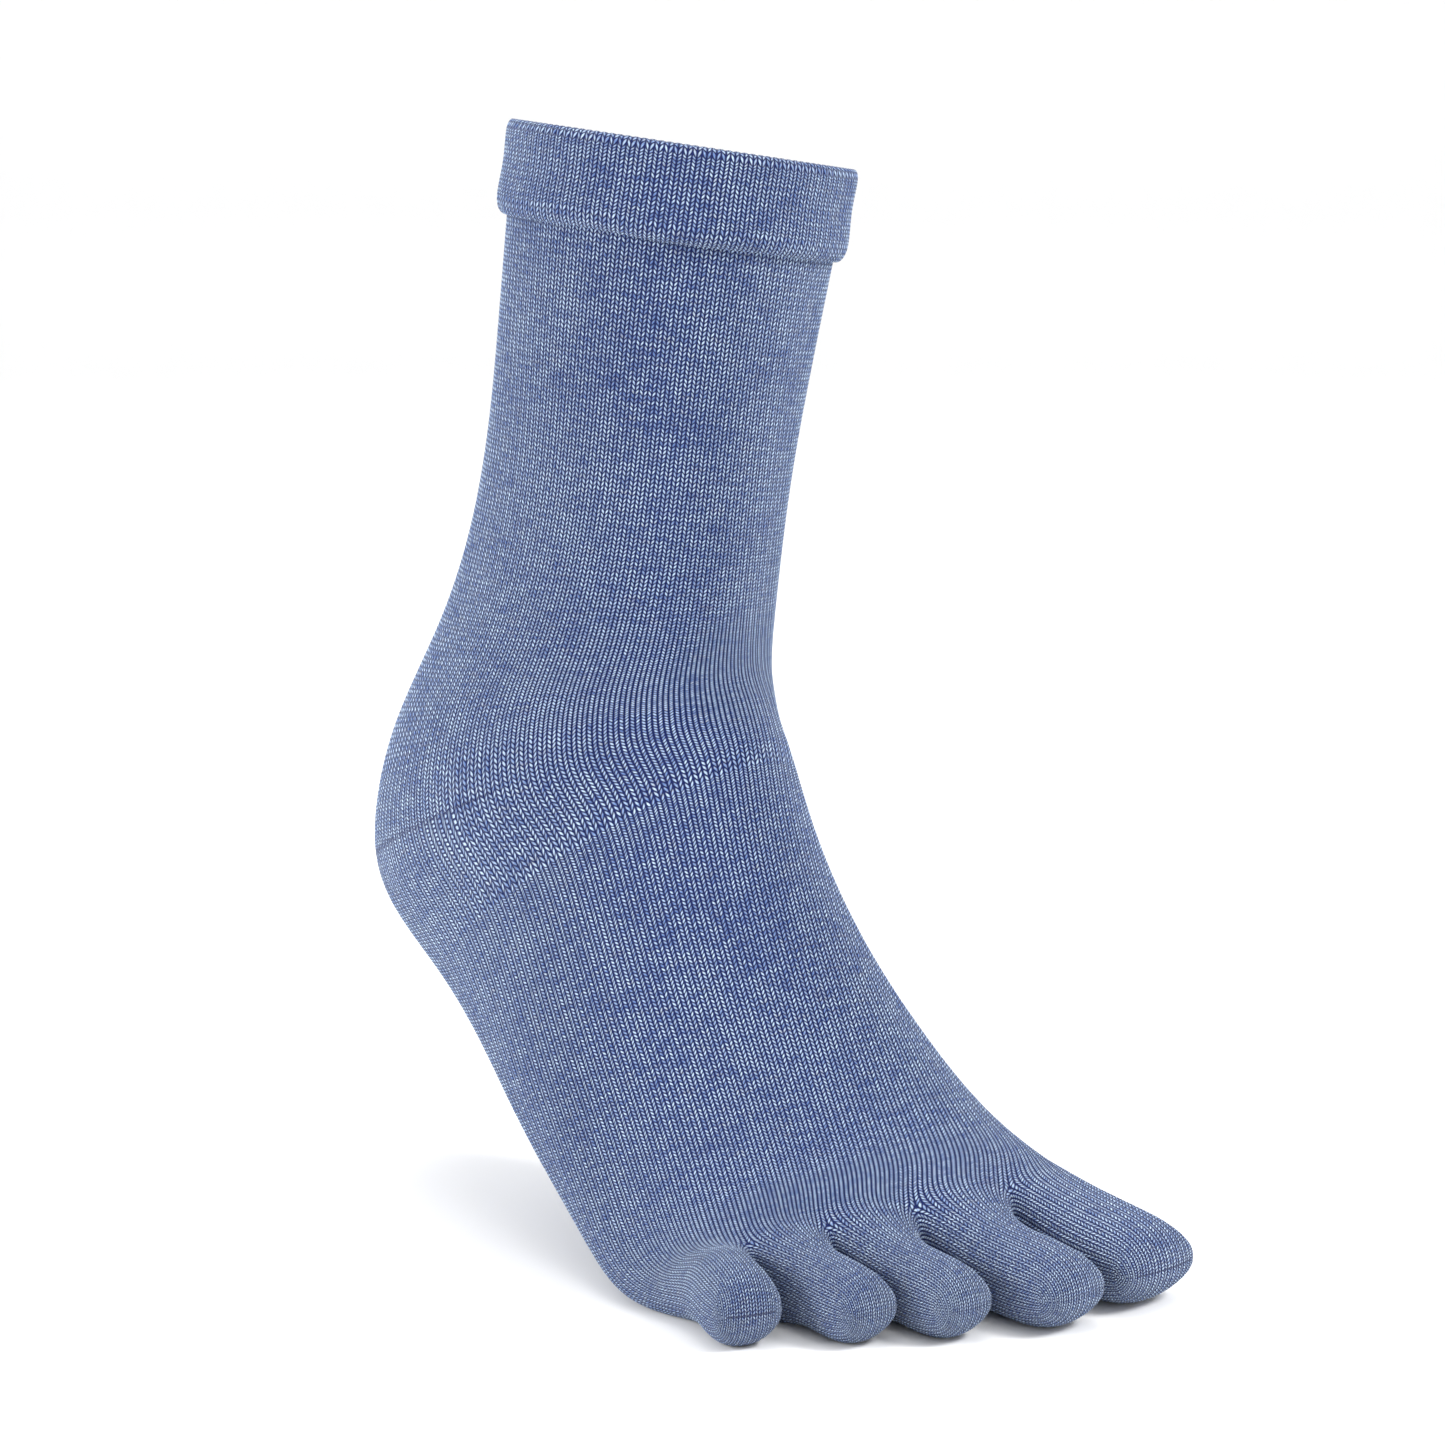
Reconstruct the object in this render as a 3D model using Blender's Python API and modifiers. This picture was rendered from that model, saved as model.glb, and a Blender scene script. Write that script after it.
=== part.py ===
"""Toe sock for a right foot, standing on the toes with the heel raised.

The sock keeps the shape of the foot inside it: a hollow knitted tube with a turned
welt at the mouth, a leg, a heel pocket, a foot and five toes, each piece its own shell.
Units are metres. +Z is up, the toes point to -Y and the little toe lies on the -X side.
The origin is the centre of the mouth, where the leg that wears the sock leaves it.
"""
import math

import bmesh
import bpy
import numpy as np
from mathutils import Vector

# Driving sizes
FOOT_LENGTH = 0.240      # flat foot, back of the heel to the tip of the longest toe
HEM_HEIGHT = 0.2215      # floor to the middle of the hem of the welt, standing on the toes
LEG_WIDTH = 0.0716       # across the leg just under the welt
FOOT_WIDTH = 0.096       # across the ball of the foot
CUFF_HEIGHT = 0.0195     # welt, from its hem to its rim, measured along the leg
CUFF_THICKNESS = 0.0030  # two layers of knit and the turn between them
KNIT_THICKNESS = 0.0012  # one layer of knit
TOE_WIDTH = 0.0165       # the fourth toe; the others are shares of it
SEAM_GAP = 0.0003        # clearance where two knitted pieces meet

# Counts
COLUMNS = 24             # cage points round every section; one holds five wales
HEEL_HALF = 6            # columns that the heel pocket takes on each side of the back
SMOOTHING = 1            # subdivision steps from the cage to the solid
FINE_STEPS = 720         # steps of half a section, where its columns are spaced out along it

# Sections of the leg, heel and foot, from the hem of the welt to the base of the toes.
# Each is a closed outline between a back (or sole) point and a front (or instep) point.
# back_y, front_y: forward of the heel, shares of FOOT_LENGTH. back_z, front_z: heights,
# shares of HEM_HEIGHT. width: a share of LEG_WIDTH or FOOT_WIDTH, as span says.
# drift: how far the middle lies towards the little toe, and ridge the same for the front
# point. skew and bow: how far the little toe's edge, and both edges, lie behind the middle.
# These four are shares of FOOT_WIDTH. wide_at: where the widest place lies from back to
# front. back_n and front_n: 2 is a round end, and more is a squarer one. cant: slope of
# the section up towards the little toe's side.
SECTION_COLUMNS = (
    "name", "back_y", "back_z", "front_y", "front_z", "width", "span",
    "drift", "ridge", "wide_at", "back_n", "front_n", "skew", "bow", "cant",
)
SECTIONS = (
    ("leg_top", 0.283, 1.015, 0.593, 0.982, 1.00, "leg", -0.067, 0.00, 0.50, 2.0, 2.0, 0.00, 0.00, 0.11),
    ("leg_upper", 0.274, 0.905, 0.581, 0.873, 0.94, "leg", -0.040, 0.00, 0.50, 2.0, 2.0, 0.00, 0.00, 0.11),
    ("leg_middle", 0.259, 0.789, 0.575, 0.760, 0.86, "leg", -0.012, 0.00, 0.50, 2.0, 2.0, 0.00, 0.00, 0.09),
    ("leg_low", 0.224, 0.683, 0.568, 0.668, 0.86, "leg", 0.00, 0.00, 0.52, 1.9, 2.0, 0.00, 0.00, 0.05),
    ("ankle", 0.170, 0.590, 0.558, 0.600, 0.90, "leg", 0.00, 0.00, 0.54, 1.8, 2.0, 0.00, 0.00, 0.02),
    ("heel_top", 0.112, 0.495, 0.558, 0.570, 0.96, "leg", 0.00, 0.00, 0.52, 1.9, 2.0, 0.00, 0.00, 0.00),
    ("heel_start", 0.080, 0.410, 0.564, 0.550, 0.97, "leg", 0.00, -0.02, 0.48, 2.0, 2.0, 0.00, 0.00, 0.00),
    ("suture", 0.088, 0.310, 0.570, 0.536, 0.97, "leg", 0.01, -0.04, 0.42, 2.3, 2.0, 0.00, 0.00, 0.00),
    ("heel_under", 0.156, 0.258, 0.575, 0.520, 0.96, "leg", 0.02, -0.06, 0.38, 2.6, 2.0, 0.00, 0.00, 0.00),
    ("heel_end", 0.236, 0.212, 0.581, 0.500, 0.95, "leg", 0.03, -0.08, 0.36, 2.6, 2.0, 0.00, 0.00, 0.00),
    ("arch_back", 0.333, 0.156, 0.605, 0.415, 0.74, "foot", 0.05, -0.10, 0.34, 2.6, 2.0, 0.02, 0.00, 0.00),
    ("arch", 0.424, 0.096, 0.650, 0.322, 0.80, "foot", 0.06, -0.12, 0.34, 2.6, 2.0, 0.05, 0.02, 0.00),
    ("waist", 0.516, 0.048, 0.700, 0.237, 0.87, "foot", 0.05, -0.15, 0.34, 2.6, 2.0, 0.08, 0.05, 0.00),
    ("ball", 0.612, 0.005, 0.756, 0.164, 0.96, "foot", 0.04, -0.17, 0.32, 2.8, 2.0, 0.10, 0.08, 0.00),
    ("tread", 0.715, -0.018, 0.806, 0.132, 1.03, "foot", 0.04, -0.20, 0.28, 3.8, 2.0, 0.10, 0.14, 0.00),
    ("toe_base", 0.812, -0.010, 0.828, 0.108, 1.02, "foot", 0.03, -0.24, 0.34, 3.6, 2.2, 0.11, 0.20, 0.00),
)
TOE_SPREAD_FROM = "arch_back"  # from here on the columns move over to the toes that they reach

# Toes, from the little one to the big one. tip_y: a share of FOOT_LENGTH. tip_x: towards
# the little toe, a share of FOOT_WIDTH. width: a share of TOE_WIDTH. root: the share of the
# toe base that the toe takes. knuckle, pad: heights of the top, shares of TOE_WIDTH.
TOE_COLUMNS = ("name", "tip_y", "tip_x", "width", "root", "knuckle", "pad")
TOES = (
    ("toe_little", 0.812, 0.528, 0.96, 0.165, 1.10, 1.02),
    ("toe_fourth", 0.876, 0.318, 0.90, 0.150, 1.00, 0.97),
    ("toe_third", 0.922, 0.148, 0.93, 0.180, 1.02, 1.00),
    ("toe_second", 0.966, -0.078, 1.16, 0.220, 1.12, 1.05),
    ("toe_big", 0.969, -0.338, 1.52, 0.285, 1.28, 1.12),
)
# Rings of one toe between its root and its tip. along: share of the way. spread: width
# against the toe's own. top: 0 is the knuckle's height, 1 the pad's. lift: gap under it, less
# than 0 where the floor flattens it, and close: height that it has lost. Both are shares of
# the toe's height.
TOE_RING_COLUMNS = ("along", "spread", "top", "lift", "close")
TOE_RINGS = (
    (0.30, 0.95, 0.0, 0.05, 0.00),
    (0.62, 1.02, 0.8, -0.06, 0.00),
    (0.88, 0.90, 1.0, 0.02, 0.12),
)
TOE_POINTS = 8           # cage points round a toe
CAGE_SHRINK = 0.9024     # radius that smoothing leaves of such a ring
TOE_SQUARENESS = 1.06    # how far the corner points of a toe's ring stand out, 1 is round
SIDE_INSET = 0.035       # share of the toe base between its edge and the outermost toe's columns
TIP_REACH = 1.06         # where a toe's end point stands, so that smoothing leaves its length
WEB_RISE = 0.70          # height of the web between two toes, a share of the toe base's height
WEB_REACH = 0.0016       # how far the web stands forward of the toe base
TOE_VALLEY = 0.0012      # how far the toe base dips between two toes
TOE_CROWN = 0.0008       # how far it rises over each toe

# Welt: its profile round the wall, from the hem underside up the outer face and back down
# inside. up: share of CUFF_HEIGHT. out: share of CUFF_THICKNESS, from the leg's outer face.
CUFF_PROFILE_COLUMNS = ("up", "out")
CUFF_PROFILE = (
    (0.00, 0.70),
    (0.18, 1.10),
    (0.52, 0.68),
    (0.93, 1.02),
    (1.02, 0.45),
    (0.93, -0.10),
    (0.50, -0.30),
    (0.00, -0.36),
)

SOCK_BLUE = (0.16, 0.26, 0.48, 1.0)
KNIT_ROUGHNESS = 0.9
PIECE_COLOURS = {"cuff": (0.13, 0.22, 0.44, 1.0), "heel": (0.20, 0.31, 0.54, 1.0)}


def rows_of(names, rows):
    """The rows of a table, each as a dictionary by column name."""
    return [dict(zip(names, row)) for row in rows]


def section_outline(row, turns):
    """Points of one section at these angles: 0 at the back, a quarter turn at the little toe's side."""
    span = LEG_WIDTH if row["span"] == "leg" else FOOT_WIDTH
    half = row["width"] * span / 2
    back = np.array([row["back_y"] * FOOT_LENGTH, row["back_z"] * HEM_HEIGHT])
    front = np.array([row["front_y"] * FOOT_LENGTH, row["front_z"] * HEM_HEIGHT])
    sine, cosine = np.sin(turns), np.cos(turns)
    power = 2 / np.where(cosine > 0, row["back_n"], row["front_n"])
    side = np.sign(sine) * np.abs(sine) ** power
    rise = np.abs(cosine) ** power
    wide_at = row["wide_at"]
    along = np.where(cosine > 0, wide_at * (1 - rise), wide_at + (1 - wide_at) * rise)
    crest = np.clip((along - wide_at) / (1 - wide_at), 0, 1) ** 2
    across = row["drift"] * FOOT_WIDTH + half * side + row["ridge"] * FOOT_WIDTH * crest
    chord = back + along[:, None] * (front - back)
    behind = (row["skew"] * side + row["bow"] * side**2) * FOOT_WIDTH
    height = chord[:, 1] + row["cant"] * half * side
    return np.stack([-across, -(chord[:, 0] - behind), height], axis=1)


def even_turns(row):
    """Angles that space the columns evenly round a section, starting at the back."""
    fine = np.linspace(0, 2 * math.pi, 2 * FINE_STEPS + 1)
    steps = np.linalg.norm(np.diff(section_outline(row, fine), axis=0), axis=1)
    run = np.concatenate([[0], np.cumsum(steps)])
    return np.interp(np.arange(COLUMNS) / COLUMNS * run[-1], run, fine)


def toe_turns(row):
    """Angles that put the columns of the toe base at the sides and the middle of each toe."""
    toes = rows_of(TOE_COLUMNS, TOES)
    edges = np.concatenate([[0], np.cumsum([toe["root"] for toe in toes])])
    places = [edges[0]]
    for i in range(len(toes)):
        places += [(edges[i] + edges[i + 1]) / 2, edges[i + 1]]
    shares = np.clip(np.array(places) / edges[-1], SIDE_INSET, 1 - SIDE_INSET)
    side = COLUMNS // 4
    top = np.linspace(math.pi / 2, 3 * math.pi / 2, FINE_STEPS + 1)
    under = np.linspace(math.pi / 2, -math.pi / 2, FINE_STEPS + 1)
    turns = np.zeros(COLUMNS)
    for fine, step in ((top, 1), (under, -1)):
        x = section_outline(row, fine)[:, 0]
        for i, turn in enumerate(np.interp(x[0] + shares * (x[-1] - x[0]), x, fine)):
            turns[(side + step * (i + 1)) % COLUMNS] = turn
    turns[side] = math.pi / 2
    turns[3 * side] = 3 * math.pi / 2
    return turns


def ring_points(rows):
    """The cage points of every section, one array of COLUMNS points each."""
    names = [row["name"] for row in rows]
    first = names.index(TOE_SPREAD_FROM)
    shift = toe_turns(rows[-1]) - even_turns(rows[-1])
    shift = (shift + math.pi) % (2 * math.pi) - math.pi
    rings = []
    for i, row in enumerate(rows):
        share = max(0.0, (i - first) / (len(rows) - 1 - first))
        rings.append(section_outline(row, even_turns(row) + share**2 * shift))
    return rings


def add_ring(bm, points):
    return [bm.verts.new(point) for point in points]


def bridge(bm, lower, upper):
    """Quads between two closed rings of the same count, one for each column."""
    count = len(lower)
    return [
        bm.faces.new((lower[i], lower[(i + 1) % count], upper[(i + 1) % count], upper[i]))
        for i in range(count)
    ]


def toe_ring(toe, ring, root, tip, heading):
    """Eight cage points round a toe, in the order of its root: over the top, then underneath."""
    width = toe["width"] * TOE_WIDTH
    knuckle, pad = toe["knuckle"] * TOE_WIDTH, toe["pad"] * TOE_WIDTH
    height = knuckle + ring["top"] * (pad - knuckle)
    low = height * (ring["lift"] + ring["close"] / 2)
    high = height * (1 - ring["close"])
    middle = root.lerp(tip, ring["along"])
    middle.z = (low + high) / 2
    across = Vector((-heading.y, heading.x, 0))
    half_wide = width * ring["spread"] / 2 / CAGE_SHRINK
    half_high = (high - low) / 2 / CAGE_SHRINK
    diagonal = math.sqrt(0.5) * TOE_SQUARENESS
    places = (
        (-diagonal, diagonal), (0, 1), (diagonal, diagonal), (1, 0),
        (diagonal, -diagonal), (0, -1), (-diagonal, -diagonal), (-1, 0),
    )
    ring_at = []
    for side, up in places:
        point = middle + across * (side * half_wide)
        point.z += up * half_high
        ring_at.append(point)
    return ring_at


def add_toe(bm, toe, root_ring):
    """The pocket of one toe, from the ring at its root to its closed tip. Returns its faces."""
    root = sum((vert.co for vert in root_ring), Vector()) / TOE_POINTS
    root.z = 0
    tip = Vector((-toe["tip_x"] * FOOT_WIDTH, -toe["tip_y"] * FOOT_LENGTH, 0))
    heading = (tip - root).normalized()
    faces = []
    last = root_ring
    for ring in rows_of(TOE_RING_COLUMNS, TOE_RINGS):
        following = add_ring(bm, toe_ring(toe, ring, root, tip, heading))
        faces += bridge(bm, last, following)
        last = following
    tip.z = sum(vert.co.z for vert in last) / TOE_POINTS
    level_root = Vector((root.x, root.y, tip.z))
    end = bm.verts.new(level_root.lerp(tip, TIP_REACH))
    for k in range(0, TOE_POINTS, 2):
        faces.append(bm.faces.new((end, last[k], last[k + 1], last[(k + 2) % TOE_POINTS])))
    return faces


def build_cage():
    """The cage of the whole tube, and its faces by the name of the piece that they belong to."""
    rows = rows_of(SECTION_COLUMNS, SECTIONS)
    names = [row["name"] for row in rows]
    heel_from, heel_to = names.index("heel_start"), names.index("heel_end")
    leg_to = names.index("suture")
    bm = bmesh.new()
    pieces = {"leg": [], "heel": [], "foot": []}
    rings = [add_ring(bm, points) for points in ring_points(rows)]
    for i in range(len(rings) - 1):
        for column, face in enumerate(bridge(bm, rings[i], rings[i + 1])):
            at_back = column < HEEL_HALF or column >= COLUMNS - HEEL_HALF
            tube = "leg" if i < leg_to else "foot"
            pieces["heel" if at_back and heel_from <= i < heel_to else tube].append(face)

    # Two columns of the base go to each toe, over the top and underneath, and one point stands
    # in the web between two toes.
    base = rings[-1]
    side = COLUMNS // 4
    toes = rows_of(TOE_COLUMNS, TOES)
    webs = [base[side]]
    for i in range(1, len(toes)):
        over, under = base[side + 1 + 2 * i], base[(side - 1 - 2 * i) % COLUMNS]
        over.co.z -= TOE_VALLEY
        web = under.co.lerp(over.co, WEB_RISE)
        web.y -= WEB_REACH
        webs.append(bm.verts.new(web))
    webs.append(base[3 * side])
    for i in range(len(toes)):
        base[side + 2 + 2 * i].co.z += TOE_CROWN
    for i, toe in enumerate(toes):
        over = [base[side + 1 + 2 * i + k] for k in range(3)]
        under = [base[(side - 1 - 2 * i - k) % COLUMNS] for k in (2, 1, 0)]
        pieces[toe["name"]] = add_toe(bm, toe, over + [webs[i + 1]] + under + [webs[i]])
    bmesh.ops.recalc_face_normals(bm, faces=bm.faces)
    return bm, pieces


def cuff_frame():
    """The outline that the welt is knitted onto, the leg's direction there and its middle."""
    top, following = rows_of(SECTION_COLUMNS, SECTIONS)[:2]
    ring = section_outline(top, even_turns(top))
    middle = ring.mean(axis=0)
    axis = middle - section_outline(following, even_turns(following)).mean(axis=0)
    return ring, axis / np.linalg.norm(axis), middle


def build_cuff():
    """The cage of the welt: its profile carried round the leg's top outline."""
    ring, axis, middle = cuff_frame()
    spokes = ring - middle
    spokes -= np.outer(spokes @ axis, axis)
    outward = spokes / np.linalg.norm(spokes, axis=1, keepdims=True)
    bm = bmesh.new()
    loops = []
    for place in rows_of(CUFF_PROFILE_COLUMNS, CUFF_PROFILE):
        rise = SEAM_GAP + place["up"] * CUFF_HEIGHT
        loops.append(add_ring(bm, ring + outward * place["out"] * CUFF_THICKNESS + axis * rise))
    for i, loop in enumerate(loops):
        bridge(bm, loop, loops[(i + 1) % len(loops)])
    bmesh.ops.recalc_face_normals(bm, faces=bm.faces)
    return bm


def mouth_middle():
    _, axis, middle = cuff_frame()
    return Vector(middle + axis * (SEAM_GAP + CUFF_HEIGHT))


def smoothed(name, bm):
    """The mesh that smoothing makes of a cage."""
    mesh = bpy.data.meshes.new(name)
    bm.to_mesh(mesh)
    bm.free()
    obj = bpy.data.objects.new(name, mesh)
    bpy.context.scene.collection.objects.link(obj)
    modifier = obj.modifiers.new("smooth", "SUBSURF")
    modifier.levels = modifier.render_levels = SMOOTHING
    graph = bpy.context.evaluated_depsgraph_get()
    result = bpy.data.meshes.new_from_object(obj.evaluated_get(graph))
    bpy.data.objects.remove(obj, do_unlink=True)
    return result


def draw_in(bm, distance):
    """Moves the open border of a surface in by this distance, along the surface."""
    pulls = {}
    for edge in bm.edges:
        if edge.is_boundary:
            along = (edge.verts[1].co - edge.verts[0].co).normalized()
            pull = edge.link_faces[0].calc_center_median() - edge.verts[0].co
            pull -= along * pull.dot(along)
            for vert in edge.verts:
                pulls.setdefault(vert, []).append(pull.normalized())
    for vert, both in pulls.items():
        mean = sum(both, Vector()) / len(both)
        vert.co += mean / mean.length_squared * distance


def shell_of(whole, index, mouth):
    """One piece of the tube: its outer face, an inner face one layer of knit below it, and the rim
    between them. The wall follows the normals of the whole tube, so that pieces meet squarely."""
    bm = bmesh.new()
    bm.from_mesh(whole)
    bm.normal_update()
    outwards = [vert.normal * vert.calc_shell_factor() for vert in bm.verts]
    wall = bm.verts.layers.float_vector.new("wall")
    for vert, outward in zip(bm.verts, outwards):
        vert[wall] = outward * KNIT_THICKNESS
    others = [face for face in bm.faces if face.material_index != index]
    bmesh.ops.delete(bm, geom=others, context="FACES")
    draw_in(bm, SEAM_GAP / 2)
    for vert in bm.verts:
        vert.co.z = max(vert.co.z, 0.0)
    bmesh.ops.translate(bm, verts=bm.verts, vec=-mouth)
    for face in bm.faces:
        face.material_index = 0

    rim = [edge for edge in bm.edges if edge.is_boundary]
    copy = bmesh.ops.duplicate(bm, geom=bm.verts[:] + bm.edges[:] + bm.faces[:])
    inner = copy["vert_map"]
    for item in copy["geom"]:
        if isinstance(item, bmesh.types.BMVert):
            item.co -= item[wall]
    lining = [item for item in copy["geom"] if isinstance(item, bmesh.types.BMFace)]
    bmesh.ops.reverse_faces(bm, faces=lining)
    for edge in rim:
        start, end = edge.link_loops[0].vert, edge.link_loops[0].link_loop_next.vert
        bm.faces.new((end, start, inner[start], inner[end]))
    bm.verts.layers.float_vector.remove(wall)
    return bm


def new_material(name, colour):
    material = bpy.data.materials.new(name)
    material.use_nodes = True
    shader = material.node_tree.nodes["Principled BSDF"]
    shader.inputs["Base Color"].default_value = colour
    shader.inputs["Roughness"].default_value = KNIT_ROUGHNESS
    shader.inputs["Metallic"].default_value = 0.0
    return material


def add_piece(name, bm, collection):
    """A named object from a bmesh, shaded smooth, with its own material."""
    mesh = bpy.data.meshes.new(name)
    bm.to_mesh(mesh)
    bm.free()
    mesh.shade_smooth()
    mesh.materials.append(new_material(name, PIECE_COLOURS.get(name, SOCK_BLUE)))
    obj = bpy.data.objects.new(name, mesh)
    collection.objects.link(obj)
    return obj


def remove_startup_objects():
    for obj in list(bpy.data.objects):
        bpy.data.objects.remove(obj, do_unlink=True)


remove_startup_objects()
sock = bpy.data.collections.new("toe_sock")
bpy.context.scene.collection.children.link(sock)
mouth = mouth_middle()

cage, piece_faces = build_cage()
piece_names = list(piece_faces)
for index, name in enumerate(piece_names):
    for face in piece_faces[name]:
        face.material_index = index
tube = smoothed("tube", cage)
for index, name in enumerate(piece_names):
    add_piece(name, shell_of(tube, index, mouth), sock)
bpy.data.meshes.remove(tube)

welt = build_cuff()
bmesh.ops.translate(welt, verts=welt.verts, vec=-mouth)
cuff = add_piece("cuff", welt, sock)
roll = cuff.modifiers.new("smooth", "SUBSURF")
roll.levels = roll.render_levels = SMOOTHING
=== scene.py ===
# %% [markdown]
# # A knitted toe sock, worn and standing on its toes
#
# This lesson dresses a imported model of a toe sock. The model fixes every size and place. The
# lesson adds what the eye sees: fine knit with its ribs, heathered yarn, a turned welt, a heel
# seam and five closed toes. Each step says what the thing is, how it could be made in Blender
# and why it is made this way.

# %% Start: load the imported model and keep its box
import math

import bmesh
import bpy
import numpy as np
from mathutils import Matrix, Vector


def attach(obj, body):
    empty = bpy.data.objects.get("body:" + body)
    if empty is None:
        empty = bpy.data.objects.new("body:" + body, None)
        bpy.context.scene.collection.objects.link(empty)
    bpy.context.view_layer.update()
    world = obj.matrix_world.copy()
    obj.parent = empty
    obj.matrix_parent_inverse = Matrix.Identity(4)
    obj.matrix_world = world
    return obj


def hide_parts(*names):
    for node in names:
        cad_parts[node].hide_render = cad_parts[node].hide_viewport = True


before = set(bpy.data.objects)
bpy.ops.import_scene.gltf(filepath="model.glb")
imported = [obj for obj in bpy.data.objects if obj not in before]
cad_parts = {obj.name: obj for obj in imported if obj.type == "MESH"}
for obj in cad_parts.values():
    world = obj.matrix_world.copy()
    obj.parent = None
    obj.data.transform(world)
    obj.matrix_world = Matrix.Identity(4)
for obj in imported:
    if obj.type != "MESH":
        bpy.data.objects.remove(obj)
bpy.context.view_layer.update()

print("packed nodes:", ", ".join(sorted(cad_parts)))

# %% [markdown]
# ## Sizes
#
# A knitter works from a few body measures: foot length, ankle, ball. The sock is described the
# same way here. All else is a share of these measures, so that the sock can be graded up or
# down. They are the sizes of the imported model, in metres.

# %% Sizes of the sock
FOOT_LENGTH = 0.240      # flat foot, back of the heel to the tip of the longest toe
HEM_HEIGHT = 0.2215      # floor to the middle of the hem of the welt
LEG_WIDTH = 0.0716       # across the leg just under the welt
FOOT_WIDTH = 0.096       # across the ball of the foot
CUFF_HEIGHT = 0.0195     # welt, from its hem to its rim
CUFF_THICKNESS = 0.0030  # two layers of knit and the turn between them
KNIT_THICKNESS = 0.0012  # one layer of knit
TOE_WIDTH = 0.0165       # the fourth toe; the others are shares of it
SEAM_GAP = 0.0003        # where the welt stands off the leg's first row

# %% [markdown]
# ## The knitter's counts
#
# A column of loops is a wale and a row of loops is a course. This sock has 120 wales round the
# leg. The outline has 24 points, so each stretch between two points carries five wales, and
# each toe, with eight points, carries forty. The pattern coordinates are counted in wales and
# courses, because then the knit follows the tube wherever it bends.

# %% Counts of wales and courses
COLUMNS = 24             # points round every section
WALES = 5                # wales from one point to the next
COURSE = 0.00095         # height of one course
HEEL_HALF = 6            # columns that the heel takes on each side of the back
SUTURE_HALF = 7          # points of the heel suture on each side of the back
SMOOTHING = 3            # subdivision steps from the rough tube to the fine one
STRIPS = 5               # strips that each fine column is then cut into, eight to a wale
FINE_STEPS = 720         # steps of half a section, where its columns are spaced out along it

# %% [markdown]
# ## Sections of leg, heel and foot
#
# A tube with a changing outline can be sculpted, or lofted through sections. Sections win here:
# each row of the table is one place where the sock is measured round, from the hem of the welt
# down to where the toes part. The sections fan out round the instep, as the rows of a turned
# heel do.

# %% Table of sections
SECTION_COLUMNS = (
    "name", "back_y", "back_z", "front_y", "front_z", "width", "span",
    "drift", "ridge", "wide_at", "back_n", "front_n", "skew", "bow", "cant",
)
SECTIONS = (
    ("leg_top", 0.283, 1.015, 0.593, 0.982, 1.00, "leg", -0.067, 0.00, 0.50, 2.0, 2.0, 0.00, 0.00, 0.11),
    ("leg_upper", 0.274, 0.905, 0.581, 0.873, 0.94, "leg", -0.040, 0.00, 0.50, 2.0, 2.0, 0.00, 0.00, 0.11),
    ("leg_middle", 0.259, 0.789, 0.575, 0.760, 0.86, "leg", -0.012, 0.00, 0.50, 2.0, 2.0, 0.00, 0.00, 0.09),
    ("leg_low", 0.224, 0.683, 0.568, 0.668, 0.86, "leg", 0.00, 0.00, 0.52, 1.9, 2.0, 0.00, 0.00, 0.05),
    ("ankle", 0.170, 0.590, 0.558, 0.600, 0.90, "leg", 0.00, 0.00, 0.54, 1.8, 2.0, 0.00, 0.00, 0.02),
    ("heel_top", 0.112, 0.495, 0.558, 0.570, 0.96, "leg", 0.00, 0.00, 0.52, 1.9, 2.0, 0.00, 0.00, 0.00),
    ("heel_start", 0.080, 0.410, 0.564, 0.550, 0.97, "leg", 0.00, -0.02, 0.48, 2.0, 2.0, 0.00, 0.00, 0.00),
    ("suture", 0.088, 0.310, 0.570, 0.536, 0.97, "leg", 0.01, -0.04, 0.42, 2.3, 2.0, 0.00, 0.00, 0.00),
    ("heel_under", 0.156, 0.258, 0.575, 0.520, 0.96, "leg", 0.02, -0.06, 0.38, 2.6, 2.0, 0.00, 0.00, 0.00),
    ("heel_end", 0.236, 0.212, 0.581, 0.500, 0.95, "leg", 0.03, -0.08, 0.36, 2.6, 2.0, 0.00, 0.00, 0.00),
    ("arch_back", 0.333, 0.156, 0.605, 0.415, 0.74, "foot", 0.05, -0.10, 0.34, 2.6, 2.0, 0.02, 0.00, 0.00),
    ("arch", 0.424, 0.096, 0.650, 0.322, 0.80, "foot", 0.06, -0.12, 0.34, 2.6, 2.0, 0.05, 0.02, 0.00),
    ("waist", 0.516, 0.048, 0.700, 0.237, 0.87, "foot", 0.05, -0.15, 0.34, 2.6, 2.0, 0.08, 0.05, 0.00),
    ("ball", 0.612, 0.005, 0.756, 0.164, 0.96, "foot", 0.04, -0.17, 0.32, 2.8, 2.0, 0.10, 0.08, 0.00),
    ("tread", 0.715, -0.018, 0.806, 0.132, 1.03, "foot", 0.04, -0.20, 0.28, 3.8, 2.0, 0.10, 0.14, 0.00),
    ("toe_base", 0.812, -0.010, 0.828, 0.108, 1.02, "foot", 0.03, -0.24, 0.34, 3.6, 2.2, 0.11, 0.20, 0.00),
)
TOE_SPREAD_FROM = "arch_back"


def rows_of(names, rows):
    """The rows of a table, each as a dictionary by column name."""
    return [dict(zip(names, row)) for row in rows]


sections = rows_of(SECTION_COLUMNS, SECTIONS)
section_names = [row["name"] for row in sections]
print(len(sections), "sections, from", section_names[0], "to", section_names[-1])

# %% [markdown]
# ## Toes
#
# Each toe is a small tube with a rounded end. One table says where each toe ends and how thick
# it is, and a second how its rings swell at the pad and close at the tip.

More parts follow.
